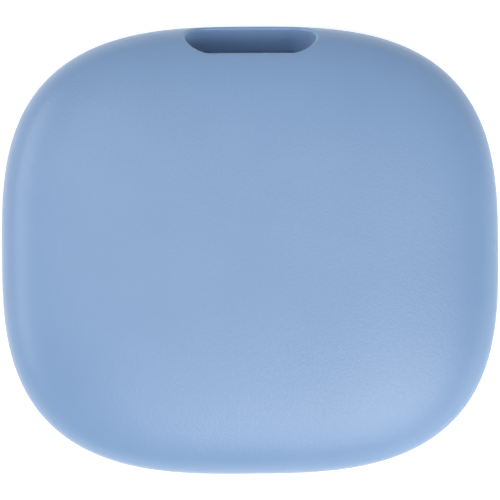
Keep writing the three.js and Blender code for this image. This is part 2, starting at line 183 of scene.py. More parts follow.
def slot_section(x, across, half_gap, wall):
    """The slot's section, grown by wall: two flats, and ends that are halves of a superellipse."""
    past_flats = np.maximum(np.abs(x) - (SLOT_HALF - SLOT_END), 0)
    return superellipse_post(past_flats, across, SLOT_END + wall, half_gap + wall, SLOT_END_POWER)


def tunnel(x, y, z, wall):
    """The slot's tunnel, grown by wall: it leans in through the front shoulder, then turns to the rear."""
    forward = y - SLOT_Y
    up = z - SLOT_Z
    across = forward * math.cos(SLOT_LEAN) - up * math.sin(SLOT_LEAN)
    outward = forward * math.sin(SLOT_LEAN) + up * math.cos(SLOT_LEAN)
    leaning = slot_section(x, across, SLOT_HALF_GAP, wall)
    leaning = overlap(leaning, -outward - SLOT_DEPTH - wall, TUNNEL_END_ROUNDING)
    upright = slot_section(x, y - EXIT_Y, EXIT_HALF_GAP, wall)
    upright = overlap(upright, z - EXIT_TOP - wall / 2, TUNNEL_END_ROUNDING)
    return joined(leaning, upright, TUNNEL_BEND_ROUNDING)


def round_post(x, y, centre, radius):
    """An endless round post."""
    return np.hypot(x - centre[0], y - centre[1]) - radius


def box_post(x, y, centre, width, depth):
    """An endless post of width along X and depth along Y."""
    beyond_x = np.abs(x - centre[0]) - width / 2
    beyond_y = np.abs(y - centre[1]) - depth / 2
    outside = np.hypot(np.maximum(beyond_x, 0), np.maximum(beyond_y, 0))
    return outside + np.minimum(np.maximum(beyond_x, beyond_y), 0)


def outer_pebble(x, y, z):
    """The closed outside of the tag, with its flat rest face and the slot cut through."""
    body = pebble(x, y, z, 0, TOP - WIDEST_Z, WIDEST_Z + REST_SINK, CROWN_POWER)
    body = np.maximum(body, -z)
    return cut(body, tunnel(x, y, z, 0), SLOT_ROUNDING)


def hollow_pebble(x, y, z):
    """The room inside both shells, without the slot's sleeve and its bar."""
    room = pebble(x, y, z, WALL, TOP - WIDEST_Z - WALL, WIDEST_Z - WALL, CAVITY_POWER)
    sleeve = tunnel(x, y, z, WALL)
    bar = box_post(x, y, (0, HALF_HEIGHT - EXIT_HALF_GAP), 2 * (SLOT_HALF + WALL), 2 * EXIT_HALF_GAP)
    return cut(room, np.minimum(sleeve, bar), ROOM_FILLET)


# Front shell: guide pegs, the boss over the switch and the sounder's seat
PEG_X = 12.8
PEG_Y = 10.8
PEG_CENTRES = [(x, y) for x in (-PEG_X, PEG_X) for y in (-PEG_Y, PEG_Y)]
PEG_RADIUS = 0.7
PEG_LOW = 3.2
BOSS_RADIUS = 1.3
BOSS_GAP = 0.06
BOSS_LOW = node_box("press_pad")[1].z + BOSS_GAP
SEAT_GAP = 0.03
SEAT_LOW = node_box("sounder_tape")[1].z + SEAT_GAP
TAPE_WIDTH = 0.7


def tape_ring():
    """Centre, inner and outer radius of the ring that the sounder is bonded to."""
    low, high = node_box("sounder_tape")
    centre = ((low.x + high.x) / 2, (low.y + high.y) / 2)
    outer = (high.x - low.x) / 2
    return centre, outer - TAPE_WIDTH, outer


def front_shell_field(x, y, z):
    room = hollow_pebble(x, y, z)
    for centre in PEG_CENTRES:
        peg = overlap(round_post(x, y, centre, PEG_RADIUS), PEG_LOW - z, PEG_FILLET)
        room = cut(room, peg, PEG_FILLET)
    boss = overlap(round_post(x, y, (0, 0), BOSS_RADIUS), BOSS_LOW - z, EDGE)
    room = cut(room, boss, PEG_FILLET)
    centre, inner, outer = tape_ring()
    seat = overlap(round_post(x, y, centre, outer), -round_post(x, y, centre, inner), CRISP_EDGE)
    room = cut(room, overlap(seat, SEAT_LOW - z, CRISP_EDGE), FILLET)
    shell = cut(outer_pebble(x, y, z), room, EDGE)
    return overlap(shell, FRONT_RIM - z, CRISP_EDGE)


# Rear shell: the cell's cradle, the frame's ledge and the snap tabs
LEDGE_INSET = 2.7
LEDGE_LOW = 1.3
LOOP_INSET = 1.6
LOOP_NOTCH_HALF = 6.7
LOOP_NOTCH_Y = 10.9
LOOP_CORNER = 0.3
CRADLE_HIGH = node_box("positive_contact_1")[0].z
CRADLE_WINDOW = 4.4
WINDOW_LOW = 2.1
CRADLE_INNER = 10.3
CRADLE_OUTER = 11.0
TAB_THICK = 0.8
TAB_LENGTH = 3.2
TAB_HIGH = REAR_HIGH.z
TAB_X = HALF_WIDTH - 3.4
TAB_Y = HALF_HEIGHT - 3.4
TAB_SIDE_Y = 4.6
TAB_END_X = 5.4
TAB_LOW = 1.5
TAB_FOOT = 1.4  # how far each tab's foot reaches out to the rim
TAB_FOOT_HIGH = REAR_RIM - 0.15
TAB_FILLET = 0.08


def cell_centre():
    low, high = node_box("battery_can")
    return (low.x + high.x) / 2, (low.y + high.y) / 2


def snap_tabs():
    """Each tab's centre, its width and depth, and the way out from it to the rim."""
    tabs = []
    for side in (-1, 1):
        for y in (-TAB_SIDE_Y, TAB_SIDE_Y):
            tabs.append(((side * TAB_X, y), (TAB_THICK, TAB_LENGTH), (side, 0)))
        tabs.append(((side * TAB_END_X, -TAB_Y), (TAB_LENGTH, TAB_THICK), (0, -1)))
    return tabs


def snap_tab(x, y, z, centre, size, outward):
    """A tab on a foot that reaches out to the rim."""
    tab = overlap(box_post(x, y, centre, *size), z - TAB_HIGH, EDGE)
    foot_centre = np.add(centre, np.multiply(outward, TAB_FOOT / 2))
    foot_size = np.add(size, np.multiply(np.abs(outward), TAB_FOOT))
    foot = np.maximum(box_post(x, y, foot_centre, *foot_size), z - TAB_FOOT_HIGH)
    return np.maximum(np.minimum(tab, foot), TAB_LOW - z)


def loop_plug(x, y, inset):
    """The inside of the frame's loop at an inset: the outline drawn in, with a step around the slot."""
    outline = superellipse_post(x, y, HALF_WIDTH - inset, HALF_HEIGHT - inset, OUTLINE_POWER)
    growth = inset - LOOP_INSET
    notch = np.maximum(np.abs(x) - LOOP_NOTCH_HALF - growth, LOOP_NOTCH_Y - growth - y)
    return cut(outline, notch, LOOP_CORNER)


def rear_shell_field(x, y, z):
    ledge = np.maximum(-loop_plug(x, y, LEDGE_INSET), LEDGE_LOW - z)
    room = cut(hollow_pebble(x, y, z), ledge, FILLET)
    shell = cut(outer_pebble(x, y, z), room, EDGE)
    shell = overlap(shell, z - REAR_RIM, CRISP_EDGE)
    centre = cell_centre()
    inside = round_post(x, y, centre, CRADLE_INNER)
    cradle = overlap(round_post(x, y, centre, CRADLE_OUTER), -inside, CRISP_EDGE)
    cradle = overlap(cradle, z - CRADLE_HIGH, EDGE)
    cradle = np.maximum(cradle, WALL / 2 - z)
    window = np.maximum(np.abs(y - centre[1]) - CRADLE_WINDOW / 2, WINDOW_LOW - z)
    shell = joined(shell, cut(cradle, window, CRISP_EDGE), EDGE)
    for centre, size, outward in snap_tabs():
        shell = joined(shell, snap_tab(x, y, z, centre, size, outward), TAB_FILLET)
    return cut(shell, tunnel(x, y, z, 0), CRISP_EDGE)


# ---- Meshes ----

CORNERS = [(i, j, k) for i in (0, 1) for j in (0, 1) for k in (0, 1)]
EDGES = [(a, b) for a in range(8) for b in range(a + 1, 8) if math.dist(CORNERS[a], CORNERS[b]) == 1]


def graded(stops, steps):
    """Grid lines from stop to stop, each stretch with about its own step."""
    lines = [stops[0]]
    for start, end, step in zip(stops, stops[1:], steps):
        count = max(1, round((end - start) / step))
        lines.extend(start + (end - start) * (i + 1) / count for i in range(count))
    return np.array(lines)


def field_mesh(name, field, xs, ys, zs):
    """A closed mesh of the surface where field is zero, with one corner in each cell that it crosses."""
    values = field(*np.meshgrid(xs, ys, zs, indexing="ij"))
    inside = values < 0
    cells = []
    for i, j, k in CORNERS:
        cells.append(inside[i : i + len(xs) - 1, j : j + len(ys) - 1, k : k + len(zs) - 1])
    crossed = np.any(cells, axis=0) & ~np.all(cells, axis=0)
    places = np.argwhere(crossed)
    lines = (xs, ys, zs)
    corner_points = []
    corner_values = []
    for corner in CORNERS:
        index = places + corner
        corner_points.append(np.stack([lines[axis][index[:, axis]] for axis in range(3)], axis=1))
        corner_values.append(values[index[:, 0], index[:, 1], index[:, 2]])
    total = np.zeros((len(places), 3))
    count = np.zeros((len(places), 1))
    for a, b in EDGES:
        va, vb = corner_values[a], corner_values[b]
        change = (va < 0) != (vb < 0)
        share = np.where(change, va / np.where(change, va - vb, 1), 0)[:, None]
        crossing = corner_points[a] + share * (corner_points[b] - corner_points[a])
        total += np.where(change[:, None], crossing, 0)
        count += change[:, None]
    points = drawn_to_surface(field, total / count)
    number = np.full(crossed.shape, -1, np.int64)
    number[tuple(places.T)] = np.arange(len(places))
    return mesh_object(name, points * MM, crossing_quads(inside, number))


def drawn_to_surface(field, points, rounds=3, longest=0.05, reach=0.01):
    """The points, moved along the field's slope to where it is zero."""
    for _ in range(rounds):
        here = field(*points.T)
        slope = np.empty_like(points)
        for axis in range(3):
            step = np.zeros(3)
            step[axis] = reach
            slope[:, axis] = (field(*(points + step).T) - field(*(points - step).T)) / (2 * reach)
        move = (here / np.maximum((slope**2).sum(1), 0.25))[:, None] * slope
        length = np.linalg.norm(move, axis=1, keepdims=True)
        points = points - move * np.minimum(1, longest / np.maximum(length, 1e-9))
    return points


def crossing_quads(inside, number):
    """One face around each grid line that crosses the surface, turned outwards."""
    quads = []
    for axis in range(3):
        second, third = (axis + 1) % 3, (axis + 2) % 3
        near = np.take(inside, range(inside.shape[axis] - 1), axis)
        far = np.take(inside, range(1, inside.shape[axis]), axis)
        edges = np.argwhere(near != far)
        within = (edges[:, second] > 0) & (edges[:, third] > 0)
        within &= edges[:, second] < number.shape[second]
        within &= edges[:, third] < number.shape[third]
        edges = edges[within]
        around = []
        for back_second, back_third in ((1, 1), (0, 1), (0, 0), (1, 0)):
            cell = edges.copy()
            cell[:, second] -= back_second
            cell[:, third] -= back_third
            around.append(number[tuple(cell.T)])
        faces = np.stack(around, axis=1)
        outwards = near[tuple(edges.T)]
        faces[~outwards] = faces[~outwards][:, ::-1]
        quads.append(faces)
    return np.concatenate(quads)


def mesh_object(name, points, faces):
    """A smooth-shaded object from an array of points, in metres, and one of faces."""
    mesh = bpy.data.meshes.new(name)
    mesh.from_pydata(points.tolist(), [], faces.tolist())
    mesh.validate()
    mesh.shade_smooth()
    return linked_object(name, mesh)


def linked_object(name, data):
    piece = bpy.data.objects.new(name, data)
    bpy.context.scene.collection.objects.link(piece)
    return piece


# ---- Small forms, in millimetres, gathered in one bmesh for each piece ----


BEND_STEPS = 5
MITRE_LIMIT = 0.4  # keeps a sharp bend's mitre from growing too long


def add_block(form, low, high, radius):
    """A block with rounded edges."""
    low, high = np.array(low), np.array(high)
    corners = bmesh.ops.create_cube(form, size=1)["verts"]
    for corner in corners:
        corner.co = (low + high) / 2 + np.array(corner.co) * (high - low)
    edges = {edge for corner in corners for edge in corner.link_edges}
    bmesh.ops.bevel(form, geom=list(edges), offset=radius, segments=2, profile=0.5, affect="EDGES")


def corner_curve(before, corner, after, radius, steps):
    """Points that round one corner of a line."""
    back = before - corner
    forth = after - corner
    back_length = np.linalg.norm(back)
    forth_length = np.linalg.norm(forth)
    reach = min(radius, back_length / 2.1, forth_length / 2.1)
    start = corner + back / back_length * reach
    end = corner + forth / forth_length * reach
    shares = [i / steps for i in range(steps + 1)]
    return [(1 - t) ** 2 * start + 2 * t * (1 - t) * corner + t**2 * end for t in shares]


def softened(profile, radius, steps=3):
    """A closed profile of radii and levels with its corners rounded, apart from those on the axis."""
    profile = [np.array(corner, float) for corner in profile]
    rounded = []
    for i, corner in enumerate(profile):
        after = profile[(i + 1) % len(profile)]
        if corner[0] == 0:
            rounded.append(corner)
        else:
            rounded.extend(corner_curve(profile[i - 1], corner, after, radius, steps))
    return rounded


def add_turned(form, profile, centre, steps=96):
    """A closed profile of radii and levels, turned about an upright axis."""
    centre_x, centre_y = centre
    turns = [2 * math.pi * i / steps for i in range(steps)]
    rings = []
    for radius, level in profile:
        ring = []
        for turn in turns if radius > 0 else [0]:
            place = (centre_x + radius * math.cos(turn), centre_y + radius * math.sin(turn), level)
            ring.append(form.verts.new(place))
        rings.append(ring)
    for near, far in zip(rings, rings[1:] + rings[:1]):
        if len(near) == 1 and len(far) == 1:
            continue
        for i in range(steps):
            j = (i + 1) % steps
            corners = (near[i % len(near)], near[j % len(near)], far[j % len(far)], far[i % len(far)])
            form.faces.new(list(dict.fromkeys(corners)))


def add_disc(form, radius, low, high, centre, rounding, inner=0.0, steps=96):
    """A flat disc, or a ring when it has an inner radius."""
    profile = [(inner, low), (radius, low), (radius, high), (inner, high)]
    add_turned(form, softened(profile, rounding), centre, steps)


def add_ribbon(form, path, across, wide, thick, bend=0.0):
    """A strip along path: wide along the direction across, thick square to it, with its bends rounded."""
    path = [np.array(point, float) for point in path]
    across = np.array(across, float)
    line = [path[0]]
    for before, corner, after in zip(path, path[1:], path[2:]):
        line.extend(corner_curve(before, corner, after, bend, BEND_STEPS) if bend else [corner])
    line.append(path[-1])
    sections = []
    for i, point in enumerate(line):
        ahead = line[min(i + 1, len(line) - 1)] - line[min(i, len(line) - 2)]
        behind = line[max(i, 1)] - line[max(i - 1, 0)]
        ahead, behind = ahead / np.linalg.norm(ahead), behind / np.linalg.norm(behind)
        middle = ahead + behind
        middle /= np.linalg.norm(middle)
        aside = np.cross(across, middle)
        aside *= thick / 2 / max(float(middle @ ahead), MITRE_LIMIT)
        upwards = across * wide / 2
        around = (-aside - upwards, aside - upwards, aside + upwards, upwards - aside)
        sections.append([form.verts.new(point + offset) for offset in around])
    form.faces.new(sections[0])
    form.faces.new(sections[-1])
    for near, far in zip(sections, sections[1:]):
        for i in range(4):
            form.faces.new((near[i], near[(i + 1) % 4], far[(i + 1) % 4], far[i]))


def form_object(name, form):
    """The gathered forms as one object, in metres."""
    bmesh.ops.recalc_face_normals(form, faces=form.faces)
    bmesh.ops.scale(form, vec=(MM, MM, MM), verts=form.verts)
    mesh = bpy.data.meshes.new(name)
    form.to_mesh(mesh)
    form.free()
    mesh.shade_smooth()
    mesh.set_sharp_from_angle(angle=SHARP_ANGLE)
    piece = linked_object(name, mesh)
    piece.modifiers.new("even_shading", "WEIGHTED_NORMAL").keep_sharp = True
    return piece


# ---- Materials ----

NOISE = "ShaderNodeTexNoise"
GLOSS_SPREAD = 0.04
NOISE_RANGE = (0.3, 0.7)  # the middle of what a texture gives, spread over the whole of what it drives
NOISE_ROUGHNESS = 0.55
TONE_SIZE = 30  # the tone changes are this many times wider than the grain
BRUSH_STRETCH = (1, 14, 14)
WEAVE_SIZE = 3.1 * 0.45  # gives threads about 0.45 mm apart
WEAVE_TONE = 0.1
MASK_CLOUDS = 3
MASK_ROUGHNESS = (0.24, 0.34)
FOAM_CELL = 0.14
FOAM_ROUGHNESS = (0.8, 0.95)


def new_material(name):
    material = bpy.data.materials.new(name)
    material.use_nodes = True
    return material, material.node_tree


def texture(tree, kind, size_mm, stretch=(1, 1, 1), **inputs):
    """A texture over the object's own coordinates, with features of about size_mm."""
    place = tree.nodes.new("ShaderNodeTexCoord")
    stretched = tree.nodes.new("ShaderNodeVectorMath")
    stretched.operation = "MULTIPLY"
    stretched.inputs[1].default_value = stretch
    tree.links.new(place.outputs["Object"], stretched.inputs[0])
    node = tree.nodes.new(kind)
    node.inputs["Scale"].default_value = 1 / (size_mm * MM)
    for name, value in inputs.items():
        node.inputs[name].default_value = value
    tree.links.new(stretched.outputs["Vector"], node.inputs["Vector"])
    return node


def spread(tree, source, low, high):
    """source's middle range, mapped to low..high."""
    mapped = tree.nodes.new("ShaderNodeMapRange")
    for name, value in zip(("From Min", "From Max", "To Min", "To Max"), (*NOISE_RANGE, low, high)):
        mapped.inputs[name].default_value = value
    tree.links.new(source, mapped.inputs["Value"])
    return mapped.outputs["Result"]


def surfaced(tree, tone, colours, gloss, roughness, relief, bump, depth_mm):
    """Tone mixes the two colours, gloss goes between the two roughnesses, and relief is the bump's height."""
    shader = tree.nodes["Principled BSDF"]
    mix = tree.nodes.new("ShaderNodeMix")
    mix.data_type = "RGBA"
    for name, colour in zip(("A", "B"), colours):
        mix.inputs[name].default_value = (*colour, 1)
    tree.links.new(spread(tree, tone, 0, 1), mix.inputs["Factor"])
    tree.links.new(mix.outputs["Result"], shader.inputs["Base Color"])
    tree.links.new(spread(tree, gloss, *roughness), shader.inputs["Roughness"])
    bumps = tree.nodes.new("ShaderNodeBump")
    bumps.inputs["Strength"].default_value = bump
    bumps.inputs["Distance"].default_value = depth_mm * MM
    tree.links.new(relief, bumps.inputs["Height"])
    tree.links.new(bumps.outputs["Normal"], shader.inputs["Normal"])


def around(roughness):
    return roughness - GLOSS_SPREAD, roughness + GLOSS_SPREAD


def moulding(name, dark, light, roughness, grain_mm, depth_mm, bump=0.4):
    """A moulded or fired surface: a fine grain in its height and gloss, and faint wider tone changes."""
    material, tree = new_material(name)
    wide = texture(tree, NOISE, TONE_SIZE * grain_mm, Detail=3, Roughness=NOISE_ROUGHNESS).outputs["Fac"]
    fine = texture(tree, NOISE, grain_mm, Detail=2, Roughness=NOISE_ROUGHNESS).outputs["Fac"]
    surfaced(tree, wide, (dark, light), fine, around(roughness), fine, bump, depth_mm)
    return material


def brushed_metal(name, dark, light, roughness, grain_mm=0.9):
    """Rolled or plated sheet: long fine marks along X in its tone, gloss and height."""
    material, tree = new_material(name)
    marks = texture(tree, NOISE, grain_mm, BRUSH_STRETCH, Detail=4).outputs["Fac"]
    surfaced(tree, marks, (dark, light), marks, around(roughness), marks, 0.1, 0.003)
    tree.nodes["Principled BSDF"].inputs["Metallic"].default_value = 1
    return material


def board_mask(name, dark, light):
    """Glossy solder mask, with the weave of the glass cloth just showing through it."""
    material, tree = new_material(name)
    weave = tree.nodes.new("ShaderNodeMath")
    weave.operation = "MULTIPLY"
    for i, direction in enumerate("XY"):
        wave = texture(tree, "ShaderNodeTexWave", WEAVE_SIZE, Distortion=0.4)
        wave.bands_direction = direction
        tree.links.new(wave.outputs["Fac"], weave.inputs[i])
    threads = weave.outputs["Value"]
    cloud = texture(tree, NOISE, MASK_CLOUDS, Detail=3, Roughness=NOISE_ROUGHNESS).outputs["Fac"]
    tone = tree.nodes.new("ShaderNodeMath")
    tone.operation = "MULTIPLY_ADD"
    tone.inputs[1].default_value = WEAVE_TONE
    tree.links.new(threads, tone.inputs[0])
    tree.links.new(cloud, tone.inputs[2])
    surfaced(tree, tone.outputs["Value"], (dark, light), cloud, MASK_ROUGHNESS, threads, 0.1, 0.008)
    return material


def foam(name, dark, light):
    """Closed-cell foam tape: small round cells."""
    material, tree = new_material(name)
    cells = texture(tree, "ShaderNodeTexVoronoi", FOAM_CELL).outputs["Distance"]
    surfaced(tree, cells, (light, dark), cells, FOAM_ROUGHNESS, cells, 0.5, 0.03)
    return material


# One material for each slot of the record, and the lighter mask over the copper
MATERIALS = {
    "shell_plastic": moulding(
        "shell_looks", (0.16, 0.262, 0.433), (0.168, 0.272, 0.447), 0.38, 0.2, 0.02, 0.9
    ),
    "frame_plastic": moulding("frame_looks", (0.018, 0.019, 0.022), (0.03, 0.032, 0.036), 0.48, 0.2, 0.014),
    "switch_plastic": moulding("switch_looks", (0.03, 0.026, 0.022), (0.05, 0.043, 0.036), 0.5, 0.12, 0.01),
    "seal_rubber": moulding("seal_looks", (0.04, 0.042, 0.046), (0.058, 0.06, 0.064), 0.8, 0.25, 0.02, 0.5),
    "board_laminate": board_mask("board_looks", (0.008, 0.075, 0.038), (0.014, 0.115, 0.06)),
    "mask_over_copper": board_mask("trace_looks", (0.03, 0.19, 0.085), (0.05, 0.26, 0.12)),
    "chip_resin": moulding(
        "chip_looks", (0.013, 0.013, 0.015), (0.024, 0.024, 0.027), 0.55, 0.08, 0.008, 0.5
    ),
    "brown_ceramic": moulding(
        "brown_ceramic_looks", (0.27, 0.165, 0.085), (0.37, 0.235, 0.125), 0.45, 0.1, 0.006
    ),
    "pale_ceramic": moulding("pale_ceramic_looks", (0.64, 0.6, 0.49), (0.74, 0.7, 0.6), 0.5, 0.1, 0.006),
    "plated_steel": brushed_metal("plated_looks", (0.58, 0.59, 0.6), (0.64, 0.65, 0.66), 0.3, grain_mm=0.3),
    "cell_steel": brushed_metal("cell_looks", (0.56, 0.565, 0.57), (0.61, 0.615, 0.62), 0.34, grain_mm=0.5),
    "gold_plate": brushed_metal("gold_looks", (0.72, 0.5, 0.18), (0.83, 0.62, 0.27), 0.28, grain_mm=0.5),
    "sounder_brass": brushed_metal("brass_looks", (0.66, 0.46, 0.17), (0.76, 0.56, 0.25), 0.34),
    "tape_foam": foam("tape_looks", (0.62, 0.6, 0.54), (0.8, 0.78, 0.72)),
}


# ---- Pieces ----


def stand_in(piece, node):
    """The piece is shown in place of the CAD node, on its body, with the finish of its material slot."""
    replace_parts(piece, node)
    return finished(piece, node_body(node), NODE_SLOTS[node])


def finished(piece, body, slot, finish=None):
    """The piece is shown on a body, with the finish of its slot or another one."""
    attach(piece, body)
    piece.data.materials.clear()
    piece.data.materials.append(MATERIALS[finish or slot])
    return piece


def node_body(node):
    bodies = frame["record"]["behaviour"]["bodies"]
    return next(body for body, members in bodies.items() if node in members)


def turned_piece(name, node, profile, centre, steps):
    form = bmesh.new()
    add_turned(form, profile, centre, steps)
    return stand_in(form_object(name, form), node)


def disc_piece(name, node, centre, rounding, inner=0.0, steps=96):
    """A disc or a ring of the node's own width and height."""
    low, high = node_box(node)
    form = bmesh.new()
    add_disc(form, (high.x - low.x) / 2, low.z, high.z, centre, rounding, inner, steps)
    return stand_in(form_object(name, form), node)


def strip_piece(node, line, sheet, bend):
    """A bent strip, as wide as the node, along a line of places along X and levels."""
    low, high = node_box(node)
    path = [(along, (low.y + high.y) / 2, level) for along, level in line]
    form = bmesh.new()
    add_ribbon(form, path, (0, 1, 0), high.y - low.y, sheet, bend)
    return stand_in(form_object(f"{node}_strip", form), node)


# The shells' grid: its margin past them, where it turns fine around the slot, and the steps it takes
SHELL_MARGIN = 0.3
FINE_HALF = 6
FINE_Y = 11.5
SHELL_STEP = 0.24
SLOT_STEP_X = 0.12
SLOT_STEP_Y = 0.1
LEVEL_STEP = 0.14
FLOOR_STEP = 0.12
RIM_STEP = 0.06
FRONT_RIM_BAND = 0.6  # where the steps up are finer, above the front shell's rim
REAR_RIM_BAND = (0.5, 0.2)  # and below and above the rear shell's


def make_shells():
    side = HALF_WIDTH + SHELL_MARGIN
    end = HALF_HEIGHT + SHELL_MARGIN
    xs = graded([-side, -FINE_HALF, FINE_HALF, side], [SHELL_STEP, SLOT_STEP_X, SHELL_STEP])
    ys = graded([-end, FINE_Y, end], [SHELL_STEP, SLOT_STEP_Y])
    stops = [FRONT_RIM - SHELL_MARGIN, FRONT_RIM + FRONT_RIM_BAND, TOP + SHELL_MARGIN]
    zs = graded(stops, [RIM_STEP, LEVEL_STEP])
    stand_in(field_mesh("front_cover_skin", front_shell_field, xs, ys, zs), "front_shell")
    below, above = REAR_RIM_BAND
    stops = [-SHELL_MARGIN, REAR_RIM - below, REAR_RIM + above, TAB_HIGH + SHELL_MARGIN]
    zs = graded(stops, [FLOOR_STEP, RIM_STEP, LEVEL_STEP])
    stand_in(field_mesh("rear_cover_skin", rear_shell_field, xs, ys, zs), "rear_shell")


# ---- Frame, gasket and circuit board ----

PEG_HOLE_RADIUS = 1.1
FRAME_BOSS_RADIUS = 1.75
FRAME_WIDTH = 1.0
FLANGE_INNER_INSET = 3.8
FLANGE_LOW = 4.55
GASKET_INSET = 0.1
GASKET_CORNER = 0.05
GASKET_EDGE = 0.06
BOARD_INSET = 2.8
BOARD_EDGE = 0.06
HOLE_EDGE = 0.05
FRAME_LOW, FRAME_HIGH = node_box("snap_frame")
GASKET_HIGH = node_box("frame_gasket")[1]
BOARD_LOW, BOARD_HIGH = node_box("circuit_board")


def level_slice(field, z, low, high, rounding):
    """The part of a field between two levels."""
    return overlap(field, np.maximum(low - z, z - high), rounding)


def loop_band(x, y, outer_inset, inner_inset, rounding):
    return cut(loop_plug(x, y, outer_inset), loop_plug(x, y, inner_inset), rounding)


def snap_frame_field(x, y, z):
    band = loop_band(x, y, LOOP_INSET, LOOP_INSET + FRAME_WIDTH, EDGE)
    flange = loop_band(x, y, LOOP_INSET + FRAME_WIDTH / 2, FLANGE_INNER_INSET, EDGE)
    flange = level_slice(flange, z, FLANGE_LOW, FRAME_HIGH.z, CRISP_EDGE)
    frame = joined(level_slice(band, z, FRAME_LOW.z, FRAME_HIGH.z, EDGE), flange, FILLET)
    for centre in PEG_CENTRES:
        boss = overlap(round_post(x, y, centre, FRAME_BOSS_RADIUS), loop_plug(x, y, LOOP_INSET), EDGE)
        frame = joined(frame, level_slice(boss, z, FRAME_LOW.z, FRAME_HIGH.z, EDGE), FILLET)
    for centre in PEG_CENTRES:
        frame = cut(frame, round_post(x, y, centre, PEG_HOLE_RADIUS), CRISP_EDGE)
    return frame


def gasket_field(x, y, z):
    band = loop_band(x, y, LOOP_INSET + GASKET_INSET, LOOP_INSET + FRAME_WIDTH, GASKET_CORNER)
    return level_slice(band, z, GASKET_LOW.z, GASKET_HIGH.z, GASKET_EDGE)


def board_field(x, y, z):
    board = loop_plug(x, y, BOARD_INSET)
    for centre in PEG_CENTRES:
        board = cut(board, round_post(x, y, centre, PEG_HOLE_RADIUS), HOLE_EDGE)
    return level_slice(board, z, BOARD_LOW.z, BOARD_HIGH.z, BOARD_EDGE)


# Steps of these pieces' grids, and how far the grids reach past them
FRAME_STEP = 0.17
FRAME_MARGIN = 0.2
WALL_STEP = 0.2
FLANGE_STEP = 0.08
SHEET_STEP = 0.04
SHEET_MARGIN = 0.08


def make_frame():
    side = HALF_WIDTH - LOOP_INSET + FRAME_MARGIN
    end = HALF_HEIGHT - LOOP_INSET + FRAME_MARGIN
    xs = graded([-side, side], [FRAME_STEP])
    ys = graded([-end, end], [FRAME_STEP])
    zs = graded([FRAME_LOW.z - 0.1, FLANGE_LOW - 0.1, FRAME_HIGH.z + 0.1], [WALL_STEP, FLANGE_STEP])
    stand_in(field_mesh("snap_frame_moulding", snap_frame_field, xs, ys, zs), "snap_frame")
    zs = graded([GASKET_LOW.z - 0.05, GASKET_HIGH.z + 0.05], [SHEET_STEP])
    stand_in(field_mesh("frame_gasket_seal", gasket_field, xs, ys, zs), "frame_gasket")
    stops = [level + past for level in (BOARD_LOW.z, BOARD_HIGH.z) for past in (-SHEET_MARGIN, SHEET_MARGIN)]
    zs = graded(stops, [SHEET_STEP, WALL_STEP, SHEET_STEP])
    stand_in(field_mesh("circuit_board_panel", board_field, xs, ys, zs), "circuit_board")


# Copper of the board: pads, vias and the traces under the solder mask
COPPER = 0.022
COPPER_ROUNDING = 0.006
PAD_MARGIN = 0.05
PAD_TOE = 0.14  # how far an end pad shows beyond its part
PAD_SPACE = 0.68
TWO_ENDED = [f"capacitor_{i}" for i in range(1, 7)] + [f"resistor_{i}" for i in range(1, 5)]
CHIPS = {"radio_chip": 10, "sounder_driver": 4}  # pads on each side
TEST_PADS = [(-6 + 1.5 * i, -13.2) for i in range(9)]
TEST_PAD_RADIUS = 0.45
TRACE_WIDTH = 0.2
TRACE_THICK = 0.8 * COPPER
GROUND_VIA = (0.3, 0.15)  # outer radius, and that of the hole
SIGNAL_VIA = (0.24, 0.12)
VIA_COUNT = 44
VIA_INSET = 3.5
VIA_SLOT_GAP = 2.4
VIA_PEG_GAP = 0.6
CONTACT_PAD_SIDE = 0.2
CONTACT_PADS = {  # how far each contact's pad starts and ends past it along X
    "positive_contact_1": (-0.25, -0.2),
    "positive_contact_2": (0.2, 0.25),
    "negative_contact": (-0.2, -3.7),
}
UPPER_TRACES = [
    [(6.2, -1), (5.2, -1), (5.2, -1.8)],
    [(6.2, -3.4), (5.7, -3.4), (5.2, -3)],
    [(8.2, -0.2), (8.2, 0.8)],
    [(9.6, -0.2), (10.2, 0.8)],
    [(10.6, -2.6), (11.4, -2.9)],
    [(10.6, -3.4), (11.4, -3.6)],
    [(7.6, -4.6), (7.8, -5.9)],
    [(9.2, -4.6), (8.8, -5.9)],
    [(7, -0.2), (7, 3.5), (3.6, 6.9), (-1.4, 6.9), (-2.1, 7.6), (-6.4, 7.6), (-8.1, 9.3), (-8.1, 9.8)],
    [(1.2, 4.6), (1.2, 3), (0.6, 1.9)],
    [(-1, 4.6), (-1, 2.6), (-0.6, 1.9)],
    [(-4.3, 5.2), (-5.2, 6)],
    [(-4.2, 4.6), (-7.6, 1.2), (-7.6, -2.6)],
    [(-3.8, 4.3), (-3.8, 2), (-5.4, 0.4)],
    [(-12.3, -2.6), (-12.3, 0.4), (-13.4, 1.5)],
    [(1.9, 1), (2.6, 1.7), (2.6, 3.3)],
    [(5.2, -5.3), (4.4, -6.1)],
    [(10.6, -4.2), (10.9, -4.5), (10.9, -5)],
]
